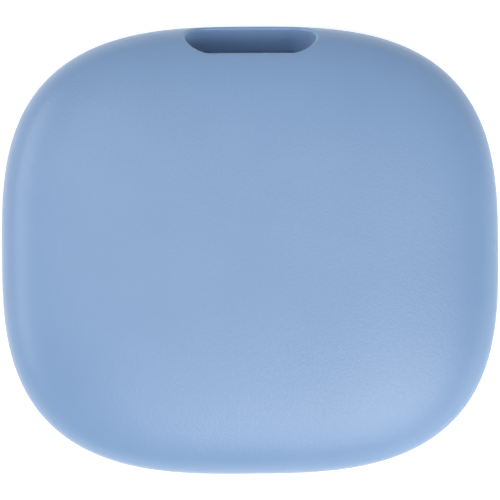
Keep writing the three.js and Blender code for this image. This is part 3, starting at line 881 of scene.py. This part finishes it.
LOWER_TRACES = [
    [(-11.4, -1.2), (-11.4, 4.6), (-8.2, 7.8), (-4, 7.8), (-2.8, 9), (2.8, 9)],
    [(11.4, -1.2), (11.4, 3), (8.6, 5.8), (8.6, 8)],
    [(-2.2, -1.2), (-2.2, 3.4), (0.4, 6), (5.6, 6), (7.2, 7.6)],
    [(-6, -12.8), (-6, -9.6), (-8.6, -7), (-12.2, -7), (-13.4, -5.8), (-13.4, 1.5)],
    [(-4.5, -12.8), (-4.5, -9), (-7.6, -5.9), (-7.6, -1.8), (-5.4, 0.4)],
    [(-3, -12.8), (-3, -8.2), (-5, -6.2)],
    [(-1.5, -12.8), (-1.5, -6.8), (0.4, -4.9), (0.4, 1.1), (2.6, 3.3)],
    [(0, -12.8), (0, -7.6), (1.5, -6.1), (4.4, -6.1)],
    [(1.5, -12.8), (1.5, -8.4), (2.5, -7.4), (8.5, -7.4), (10.9, -5)],
    [(3, -12.8), (3, -9.6), (4.2, -8.4), (10.8, -8.4), (13.6, -5.6), (13.6, 2.4)],
    [(4.5, -12.8), (4.5, -10.4), (5.5, -9.4), (10.4, -9.4)],
]
SIGNAL_VIAS = [trace[-1] for trace in LOWER_TRACES]  # where a trace goes through to the other face


def ground_vias():
    """Vias along the board's edge, clear of the guide pegs and of the step around the slot."""
    places = []
    for i in range(VIA_COUNT):
        turn = 2 * math.pi * (i + 0.5) / VIA_COUNT
        x, y = math.cos(turn), math.sin(turn)
        level = superellipse(x, y, HALF_WIDTH - VIA_INSET, HALF_HEIGHT - VIA_INSET, OUTLINE_POWER)[0]
        x, y = x / level, y / level
        near_slot = abs(x) < LOOP_NOTCH_HALF + VIA_SLOT_GAP and y > 0
        near_peg = min(math.dist((x, y), peg) for peg in PEG_CENTRES) < PEG_HOLE_RADIUS + VIA_PEG_GAP
        if not near_slot and not near_peg:
            places.append((x, y))
    return places


def sides(low, high):
    """Lower and upper copper levels of the board's two faces."""
    return (low - COPPER, low), (high, high + COPPER)


def add_end_pads(form, node, level):
    """A pad under each end of a part that is soldered by its two ends."""
    low, high = node_box(node)
    size = high - low
    longer = 1 if size.y > size.x else 0
    margin = [PAD_MARGIN, PAD_MARGIN]
    margin[longer] = PAD_TOE
    for end in (-1, 1):
        pad_low = [low.x - margin[0], low.y - margin[1], level[0]]
        pad_high = [high.x + margin[0], high.y + margin[1], level[1]]
        if end < 0:
            pad_high[longer] -= PAD_SPACE * size[longer]
        else:
            pad_low[longer] += PAD_SPACE * size[longer]
        add_block(form, pad_low, pad_high, COPPER_ROUNDING)


def make_board_copper():
    lower, upper = sides(BOARD_LOW.z, BOARD_HIGH.z)
    form = bmesh.new()
    for places, (radius, hole) in ((ground_vias(), GROUND_VIA), (SIGNAL_VIAS, SIGNAL_VIA)):
        for place in places:
            for low, high in (lower, upper):
                add_disc(form, radius, low, high, place, COPPER_ROUNDING, inner=hole, steps=16)
    for node in TWO_ENDED + ["boost_inductor", "chip_antenna"]:
        add_end_pads(form, node, upper)
    for place in TEST_PADS:
        add_disc(form, TEST_PAD_RADIUS, *lower, place, COPPER_ROUNDING, steps=24)
    for node, (start, end) in CONTACT_PADS.items():
        low, high = node_box(node)
        pad_low = (low.x + start, low.y - CONTACT_PAD_SIDE, lower[0])
        pad_high = (high.x + end, high.y + CONTACT_PAD_SIDE, lower[1])
        add_block(form, pad_low, pad_high, COPPER_ROUNDING)
    finished(form_object("board_pads", form), "module", "gold_plate")


def make_board_traces():
    lower, upper = sides(BOARD_LOW.z, BOARD_HIGH.z)
    form = bmesh.new()
    for traces, (low, high) in ((LOWER_TRACES, lower), (UPPER_TRACES, upper)):
        for trace in traces:
            path = [(x, y, (low + high) / 2) for x, y in trace]
            add_ribbon(form, path, (0, 0, 1), TRACE_THICK, TRACE_WIDTH)
    finished(form_object("board_traces", form), "module", "board_laminate", "mask_over_copper")


# ---- Parts on the board ----

PART_ROUNDING = 0.03
TINNED_END = 0.26
TINNED_ROUNDING = 0.05
BODY_INSET = (0.02, 0.04)
BODY_RAISE = 0.02
FILM_INSET = (0.06, 0.3)
FILM_THICK = 0.03
FILM_ROUNDING = 0.012
CHIP_RAISE = 0.03
CHIP_ROUNDING = 0.04
CHIP_DOT = 1 / 6  # the dot's width, and its place from the corner, as shares of the chip
CHIP_DOT_EDGE = (0.01, 0.008, 0.003)  # how far it goes into the top, stands out of it and is rounded
CHIP_PAD_ROW = 0.86  # the share of a side that its pads take
CHIP_PAD_REACH = 0.16
CHIP_PAD_FILL = 0.3  # half a pad's width, as a share of the pitch
CHIP_PAD_DROP = 0.02
CHIP_PAD_RISE = 0.1
CHIP_PAD_ROUNDING = 0.015
CRYSTAL_BASE = 0.2
CRYSTAL_RIM_INSET = 0.06
CRYSTAL_RIM_LOW = 0.18
CRYSTAL_RIM_HIGH = 0.26
CRYSTAL_RIM_ROUNDING = 0.02
CRYSTAL_CAN_INSET = 0.16
CRYSTAL_CAN_ROUNDING = 0.08
INDUCTOR_ROUNDING = 0.09
INDUCTOR_RING = (0.42, 0.5)
INDUCTOR_RING_EDGE = (0.02, 0.012, 0.006)
MEANDER_RUNS = 6
MEANDER_WIDTH = 0.16
MEANDER_MARGIN = 0.3
PRINT_THICK = 0.012
ANTENNA_END = 0.25
ANTENNA_END_PAST = 0.01
ANTENNA_END_ROUNDING = 0.02


def add_tier(form, box, inset, levels, rounding):
    """A block between two levels, drawn in from the sides of a box."""
    low, high = box
    bottom = (low.x + inset[0], low.y + inset[1], levels[0])
    add_block(form, bottom, (high.x - inset[0], high.y - inset[1], levels[1]), rounding)


def make_two_ended_parts():
    """Chip capacitors and resistors: a body between two tinned ends."""
    ends = bmesh.new()
    for node in TWO_ENDED:
        low, high = node_box(node)
        body = bmesh.new()
        add_tier(body, (low, high), BODY_INSET, (low.z + BODY_RAISE, high.z - BODY_RAISE), PART_ROUNDING)
        if node.startswith("resistor"):
            add_tier(body, (low, high), FILM_INSET, (high.z - FILM_THICK, high.z), FILM_ROUNDING)
        stand_in(form_object(f"{node}_body", body), node)
        for near, far in ((low.y, low.y + TINNED_END), (high.y - TINNED_END, high.y)):
            add_block(ends, (low.x, near, low.z), (high.x, far, high.z), TINNED_ROUNDING)
    finished(form_object("tinned_ends", ends), "module", "plated_steel")


def add_chip_pads(form, low, high, count):
    """A row of pads along each side of a square chip."""
    centre = (low + high) / 2
    half_width = (high.x - low.x) / 2
    pitch = CHIP_PAD_ROW * (high.x - low.x) / count
    half = CHIP_PAD_FILL * pitch
    reach = CHIP_PAD_REACH
    for i in range(count):
        offset = (i - (count - 1) / 2) * pitch
        for edge in (-half_width, half_width):
            for x, y, half_x, half_y in ((edge, offset, reach, half), (offset, edge, half, reach)):
                pad_low = (centre.x + x - half_x, centre.y + y - half_y, low.z - CHIP_PAD_DROP)
                pad_high = (centre.x + x + half_x, centre.y + y + half_y, low.z + CHIP_PAD_RISE)
                add_block(form, pad_low, pad_high, CHIP_PAD_ROUNDING)


def make_chips():
    pads = bmesh.new()
    for node, count in CHIPS.items():
        low, high = node_box(node)
        body = bmesh.new()
        add_tier(body, (low, high), (0, 0), (low.z + CHIP_RAISE, high.z), CHIP_ROUNDING)
        dot = CHIP_DOT * (high.x - low.x)
        place = (low.x + dot, high.y - dot)
        below, above, rounding = CHIP_DOT_EDGE
        add_disc(body, dot / 2, high.z - below, high.z + above, place, rounding, steps=32)
        stand_in(form_object(f"{node}_package", body), node)
        add_chip_pads(pads, low, high, count)
    finished(form_object("chip_pads", pads), "module", "plated_steel")


def make_crystals():
    """Each has a base, a welded rim and a can."""
    for node in ("radio_crystal", "clock_crystal"):
        low, high = node_box(node)
        form = bmesh.new()
        rim, can = CRYSTAL_RIM_INSET, CRYSTAL_CAN_INSET
        rim_levels = (low.z + CRYSTAL_RIM_LOW, low.z + CRYSTAL_RIM_HIGH)
        add_tier(form, (low, high), (0, 0), (low.z, low.z + CRYSTAL_BASE), PART_ROUNDING)
        add_tier(form, (low, high), (rim, rim), rim_levels, CRYSTAL_RIM_ROUNDING)
        add_tier(form, (low, high), (can, can), (low.z + CRYSTAL_BASE, high.z), CRYSTAL_CAN_ROUNDING)
        stand_in(form_object(f"{node}_can", form), node)


def make_inductor():
    """A block with a ring marked on its top."""
    low, high = node_box("boost_inductor")
    inner, outer = INDUCTOR_RING
    form = bmesh.new()
    add_block(form, low, high, INDUCTOR_ROUNDING)
    centre = ((low.x + high.x) / 2, (low.y + high.y) / 2)
    below, above, rounding = INDUCTOR_RING_EDGE
    add_disc(form, outer, high.z - below, high.z + above, centre, rounding, inner, steps=48)
    stand_in(form_object("boost_inductor_body", form), "boost_inductor")


def make_antenna():
    """A ceramic block with a printed silver meander over its top."""
    low, high = node_box("chip_antenna")
    form = bmesh.new()
    add_block(form, low, high, CHIP_ROUNDING)
    stand_in(form_object("chip_antenna_body", form), "chip_antenna")
    print_form = bmesh.new()
    pitch = (high.x - low.x - 2 * ANTENNA_END) / MEANDER_RUNS
    path = []
    for i in range(MEANDER_RUNS + 1):
        x = low.x + ANTENNA_END + i * pitch
        ends = (low.y + MEANDER_MARGIN, high.y - MEANDER_MARGIN)
        for y in ends if i % 2 == 0 else ends[::-1]:
            path.append((x, y, high.z + PRINT_THICK / 2))
    add_ribbon(print_form, path, (0, 0, 1), PRINT_THICK, MEANDER_WIDTH)
    past = ANTENNA_END_PAST
    for near, far in ((low.x - past, low.x + ANTENNA_END), (high.x - ANTENNA_END, high.x + past)):
        top = high.z + PRINT_THICK
        add_block(print_form, (near, low.y - past, low.z), (far, high.y + past, top), ANTENNA_END_ROUNDING)
    finished(form_object("antenna_print", print_form), "module", "plated_steel")


# Switch, under the press boss of the front shell
SWITCH_LOW, SWITCH_HIGH = node_box("switch_base")
DOME_LOW, DOME_HIGH = node_box("switch_dome")
COVER_LOW, COVER_HIGH = node_box("switch_cover")
PLUNGER_LOW, PLUNGER_HIGH = node_box("switch_plunger")
SWITCH_CORNER = 0.25
SWITCH_EDGE = 0.05
SWITCH_MARGIN = 0.1
SWITCH_STEP = 0.06
SWITCH_LEVEL_STEP = 0.04
WELL_RADIUS = 1.2
WELL_FLOOR = SWITCH_LOW.z + 0.12
WELL_EDGE = 0.04
RIVET_PLACE = 1.35
RIVET_RADIUS = 0.16
RIVET_RISE = 0.02
RIVET_LOW = SWITCH_LOW.z + 0.1
COVER_HOLE_RADIUS = PLUNGER_HIGH.x + 0.2
COVER_MARGIN = 0.03
COVER_STEP = 0.02
COVER_HOLE_EDGE = 0.02
COVER_EDGE = 0.025
DOME_SHEET = 0.08
DOME_RINGS = 12
PLUNGER_TIP = 0.3
PLUNGER_SHOULDER = PLUNGER_LOW.z + 0.12
PLUNGER_ROUNDING = 0.06
PRESS_PAD_ROUNDING = 0.035
ROUND_STEPS = 64


def square_post(x, y, half, corner):
    """An endless square post with rounded corners."""
    beyond_x = np.maximum(np.abs(x) - half + corner, 0)
    beyond_y = np.maximum(np.abs(y) - half + corner, 0)
    return np.hypot(beyond_x, beyond_y) - corner


def switch_base_field(x, y, z):
    block = square_post(x, y, SWITCH_HIGH.x, SWITCH_CORNER)
    base = level_slice(block, z, SWITCH_LOW.z, SWITCH_HIGH.z, SWITCH_EDGE)
    base = cut(base, overlap(round_post(x, y, (0, 0), WELL_RADIUS), WELL_FLOOR - z, WELL_EDGE), WELL_EDGE)
    for rivet_x in (-RIVET_PLACE, RIVET_PLACE):
        for rivet_y in (-RIVET_PLACE, RIVET_PLACE):
            rivet = round_post(x, y, (rivet_x, rivet_y), RIVET_RADIUS)
            rivet = level_slice(rivet, z, 0, SWITCH_HIGH.z + RIVET_RISE, RIVET_RISE)
            base = joined(base, np.maximum(rivet, RIVET_LOW - z), RIVET_RISE)
    return base


def switch_cover_field(x, y, z):
    plate = square_post(x, y, COVER_HIGH.x, SWITCH_CORNER)
    plate = cut(plate, round_post(x, y, (0, 0), COVER_HOLE_RADIUS), COVER_HOLE_EDGE)
    return level_slice(plate, z, COVER_LOW.z, COVER_HIGH.z, COVER_EDGE)


def make_switch_housing():
    reach = SWITCH_HIGH.x + SWITCH_MARGIN
    lines = graded([-reach, reach], [SWITCH_STEP])
    stops = [SWITCH_LOW.z - SWITCH_MARGIN / 2, SWITCH_HIGH.z + RIVET_RISE + SWITCH_MARGIN / 2]
    zs = graded(stops, [SWITCH_LEVEL_STEP])
    stand_in(field_mesh("switch_base_housing", switch_base_field, lines, lines, zs), "switch_base")
    zs = graded([COVER_LOW.z - COVER_MARGIN, COVER_HIGH.z + COVER_MARGIN], [COVER_STEP])
    stand_in(field_mesh("switch_cover_plate", switch_cover_field, lines, lines, zs), "switch_cover")


def make_switch_dome():
    upper = []
    for i in range(DOME_RINGS + 1):
        share = 1 - i / DOME_RINGS
        rise = (DOME_HIGH.z - DOME_LOW.z - DOME_SHEET) * (1 - share**2)
        upper.append((DOME_HIGH.x * share, DOME_LOW.z + DOME_SHEET + rise))
    lower = [(radius, level - DOME_SHEET) for radius, level in reversed(upper)]
    dome = turned_piece("switch_dome_spring", "switch_dome", upper + lower, (0, 0), ROUND_STEPS)
    press_squash(dome)


def make_plunger_and_pad():
    profile = [(0, PLUNGER_LOW.z), (PLUNGER_TIP, PLUNGER_LOW.z), (PLUNGER_HIGH.x, PLUNGER_SHOULDER)]
    profile += [(PLUNGER_HIGH.x, PLUNGER_HIGH.z), (0, PLUNGER_HIGH.z)]
    profile = softened(profile, PLUNGER_ROUNDING)
    turned_piece("switch_plunger_pin", "switch_plunger", profile, (0, 0), ROUND_STEPS)
    disc_piece("press_pad_disc", "press_pad", (0, 0), PRESS_PAD_ROUNDING, steps=ROUND_STEPS)


def press_squash(piece):
    """The piece gets its own copy of its mesh."""
    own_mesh(piece)


# ---- Sounder, contacts and cell ----

SOUNDER_ROUNDING = 0.03
CERAMIC_ROUNDING = 0.04
SPRING_SHEET = 0.1
SPRING_BEND = 0.16
POSITIVE_SHEET = 0.2
POSITIVE_BEND = 0.25
NEGATIVE_SHEET = 0.12
NEGATIVE_BEND = 0.4
PRONG_WIDTH = 0.96
PRONG_OFFSET = 0.62
CELL_SHEET = 0.25
CELL_BEAD = 0.65  # how far the rolled lip reaches in
CAP_INSET = 1.1
SEAL_GAP = 0.06
CELL_STEPS = 160


def make_sounder():
    centre, tape_inner, _ = tape_ring()
    disc_piece("sounder_tape_ring", "sounder_tape", centre, SOUNDER_ROUNDING, tape_inner)
    disc_piece("sounder_disc_plate", "sounder_disc", centre, SOUNDER_ROUNDING)
    disc_piece("sounder_ceramic_disc", "sounder_ceramic", centre, CERAMIC_ROUNDING)
    for node, side in (("sounder_spring_1", 1), ("sounder_spring_2", -1)):
        low, high = node_box(node)
        start = low.x if side > 0 else high.x
        foot = low.z + SPRING_SHEET / 2
        line = [(1.1, foot), (0.08, foot), (1.32, high.z - 0.07), (1.68, high.z - 0.09)]
        line = [(start + side * along, level) for along, level in line]
        press_squash(strip_piece(node, line, SPRING_SHEET, SPRING_BEND))


def make_side_contacts():
    """Bent strips that press on the cell's side."""
    for node, side in (("positive_contact_1", -1), ("positive_contact_2", 1)):
        low, high = node_box(node)
        near = min(abs(low.x), abs(high.x))
        far = max(abs(low.x), abs(high.x))
        foot = high.z - POSITIVE_SHEET / 2
        line = [(near + 0.16, low.z + 0.05), (near - 0.09, 3.75), (near + 0.12, 4.4)]
        line += [(near + 0.12, foot), (far, foot)]
        line = [(side * across, level) for across, level in line]
        strip_piece(node, line, POSITIVE_SHEET, POSITIVE_BEND)


def make_leaf_contact():
    """A forked leaf that presses on the cell's cap."""
    low, high = node_box("negative_contact")
    level = high.z - NEGATIVE_SHEET / 2
    points = [(low.x + 0.6, level), (-0.8, level), (2.2, low.z + NEGATIVE_SHEET / 2)]
    points += [(high.x - 0.03, low.z + 0.14)]
    form = bmesh.new()
    for offset in (-PRONG_OFFSET, PRONG_OFFSET):
        path = [(along, (low.y + high.y) / 2 + offset, level) for along, level in points]
        add_ribbon(form, path, (0, 1, 0), PRONG_WIDTH, NEGATIVE_SHEET, NEGATIVE_BEND)
    base_low = (low.x, low.y, high.z - NEGATIVE_SHEET - 0.02)
    add_block(form, base_low, (low.x + 1.2, high.y, high.z + 0.004), 0.03)
    stand_in(form_object("negative_contact_leaf", form), "negative_contact")


def make_cell():
    centre = cell_centre()
    can_low, can_high = node_box("battery_can")
    cap_low, cap_high = node_box("battery_cap")
    seal_low, seal_high = node_box("battery_grommet")
    radius = (can_high.x - can_low.x) / 2
    cap_radius = radius - CAP_INSET
    pack_radius = (cap_high.x - cap_low.x) / 2
    seal_radius = (seal_high.x - seal_low.x) / 2
    lip = can_high.z
    under_lip = lip - CELL_SHEET
    shoulder = under_lip - 0.3
    inner = radius - CELL_SHEET
    seal_inner = radius - CELL_BEAD - SEAL_GAP
    can = [(0, can_low.z), (radius - 0.1, can_low.z), (radius, can_low.z + 0.15), (radius, lip - 0.22)]
    can += [(radius - 0.25, lip), (radius - CELL_BEAD, lip), (radius - CELL_BEAD, under_lip)]
    can += [(inner, under_lip), (inner, can_low.z + CELL_SHEET), (0, can_low.z + CELL_SHEET)]
    cap = [(0, cap_low.z), (pack_radius, cap_low.z), (pack_radius, shoulder), (cap_radius, shoulder + 0.1)]
    cap += [(cap_radius, cap_high.z - 0.06), (cap_radius - 0.1, cap_high.z), (cap_radius - 0.9, cap_high.z)]
    cap += [(cap_radius - 1.05, cap_high.z - 0.05), (0, cap_high.z - 0.05)]
    seal = [(pack_radius + SEAL_GAP, seal_low.z), (seal_radius, seal_low.z), (seal_radius, under_lip - 0.03)]
    seal += [(seal_inner, under_lip - 0.03), (seal_inner, lip), (cap_radius + SEAL_GAP, lip)]
    seal += [(cap_radius + SEAL_GAP, shoulder + 0.16), (pack_radius + SEAL_GAP, shoulder + 0.06)]
    for node, name, profile, rounding in (
        ("battery_can", "battery_can_shell", can, 0.08),
        ("battery_cap", "battery_cap_plate", cap, 0.06),
        ("battery_grommet", "battery_grommet_ring", seal, 0.03),
    ):
        turned_piece(name, node, softened(profile, rounding), centre, CELL_STEPS)
    disc_piece("battery_pad_disc", "battery_pad", centre, 0.08)


# ---- Floor, lights and camera ----

VIEW_WIDTH = 40.26  # what the picture is wide at the tag's widest level, in millimetres
VIEW_ROLL = math.radians(-0.4)
VIEW_TILT = math.radians(3.5)  # how far the camera leans off square-on, towards -X
VIEW_CENTRE = Vector((-0.00003, 0.00002, WIDEST_Z * MM))
CAMERA_AWAY = 0.6
CAMERA_SENSOR = 36
FLOOR_HALF = 3.0
FLOOR_DROP = 0.00002
FLOOR_GLOW = 0.44
WORLD_GLOW = 0.25


def aim(thing, place, target):
    thing.location = place
    direction = Vector(np.subtract(target, place))
    thing.rotation_euler = direction.to_track_quat("-Z", "Y").to_euler()


def make_camera():
    data = bpy.data.cameras.new("camera")
    camera = linked_object("camera", data)
    data.sensor_width = CAMERA_SENSOR
    data.lens = CAMERA_SENSOR * CAMERA_AWAY / (VIEW_WIDTH * MM)
    data.clip_start = 0.01
    data.clip_end = 20
    turn = Matrix.Rotation(-VIEW_TILT, 3, "Y") @ Matrix.Rotation(VIEW_ROLL, 3, "Z")
    camera.location = VIEW_CENTRE + turn @ Vector((0, 0, CAMERA_AWAY))
    camera.rotation_euler = turn.to_euler()
    bpy.context.scene.camera = camera


def make_floor():
    """A wide white floor, just under the tag."""
    corners = [(-1, -1), (1, -1), (1, 1), (-1, 1)]
    corners = np.array([(FLOOR_HALF * x, FLOOR_HALF * y, -FLOOR_DROP) for x, y in corners])
    floor = mesh_object("floor", corners, np.array([[0, 1, 2, 3]]))
    material, tree = new_material("floor_white")
    shader = tree.nodes["Principled BSDF"]
    shader.inputs["Base Color"].default_value = (0.9, 0.9, 0.9, 1)
    shader.inputs["Roughness"].default_value = 0.9
    shader.inputs["Emission Color"].default_value = (1, 1, 1, 1)
    shader.inputs["Emission Strength"].default_value = FLOOR_GLOW
    floor.data.materials.append(material)


def soft_light(name, tilt, turn, width, height, power, away=0.6):
    """A soft elliptical light, tilt degrees off the vertical, towards turn degrees from +X."""
    data = bpy.data.lights.new(name, "AREA")
    data.shape = "ELLIPSE"
    data.size = width
    data.size_y = height
    data.energy = power
    light = linked_object(name, data)
    tilt, turn = math.radians(tilt), math.radians(turn)
    place = (
        away * math.sin(tilt) * math.cos(turn),
        away * math.sin(tilt) * math.sin(turn),
        away * math.cos(tilt),
    )
    aim(light, place, (0, 0, 0))
    light.visible_camera = False


def make_light():
    world = bpy.data.worlds.new("studio")
    world.use_nodes = True
    background = world.node_tree.nodes["Background"]
    background.inputs["Color"].default_value = (1, 1, 1, 1)
    background.inputs["Strength"].default_value = WORLD_GLOW
    bpy.context.scene.world = world
    soft_light("key", tilt=36, turn=-60, width=0.45, height=0.45, power=2.27)
    soft_light("top_key", tilt=20, turn=-40, width=0.45, height=0.45, power=0.91)
    soft_light("top_fill", tilt=20, turn=150, width=0.3, height=0.3, power=0.65)
    soft_light("side", tilt=62, turn=170, width=0.7, height=0.3, power=1.95)
    soft_light("low_right", tilt=77, turn=-40, width=1.1, height=0.3, power=1.4)
    bpy.context.scene.view_settings.view_transform = "Standard"


make_camera()
make_floor()
make_light()
make_shells()
make_frame()
make_board_copper()
make_board_traces()
make_two_ended_parts()
make_chips()
make_crystals()
make_inductor()
make_antenna()
make_switch_housing()
make_switch_dome()
make_plunger_and_pad()
make_sounder()
make_side_contacts()
make_leaf_contact()
make_cell()
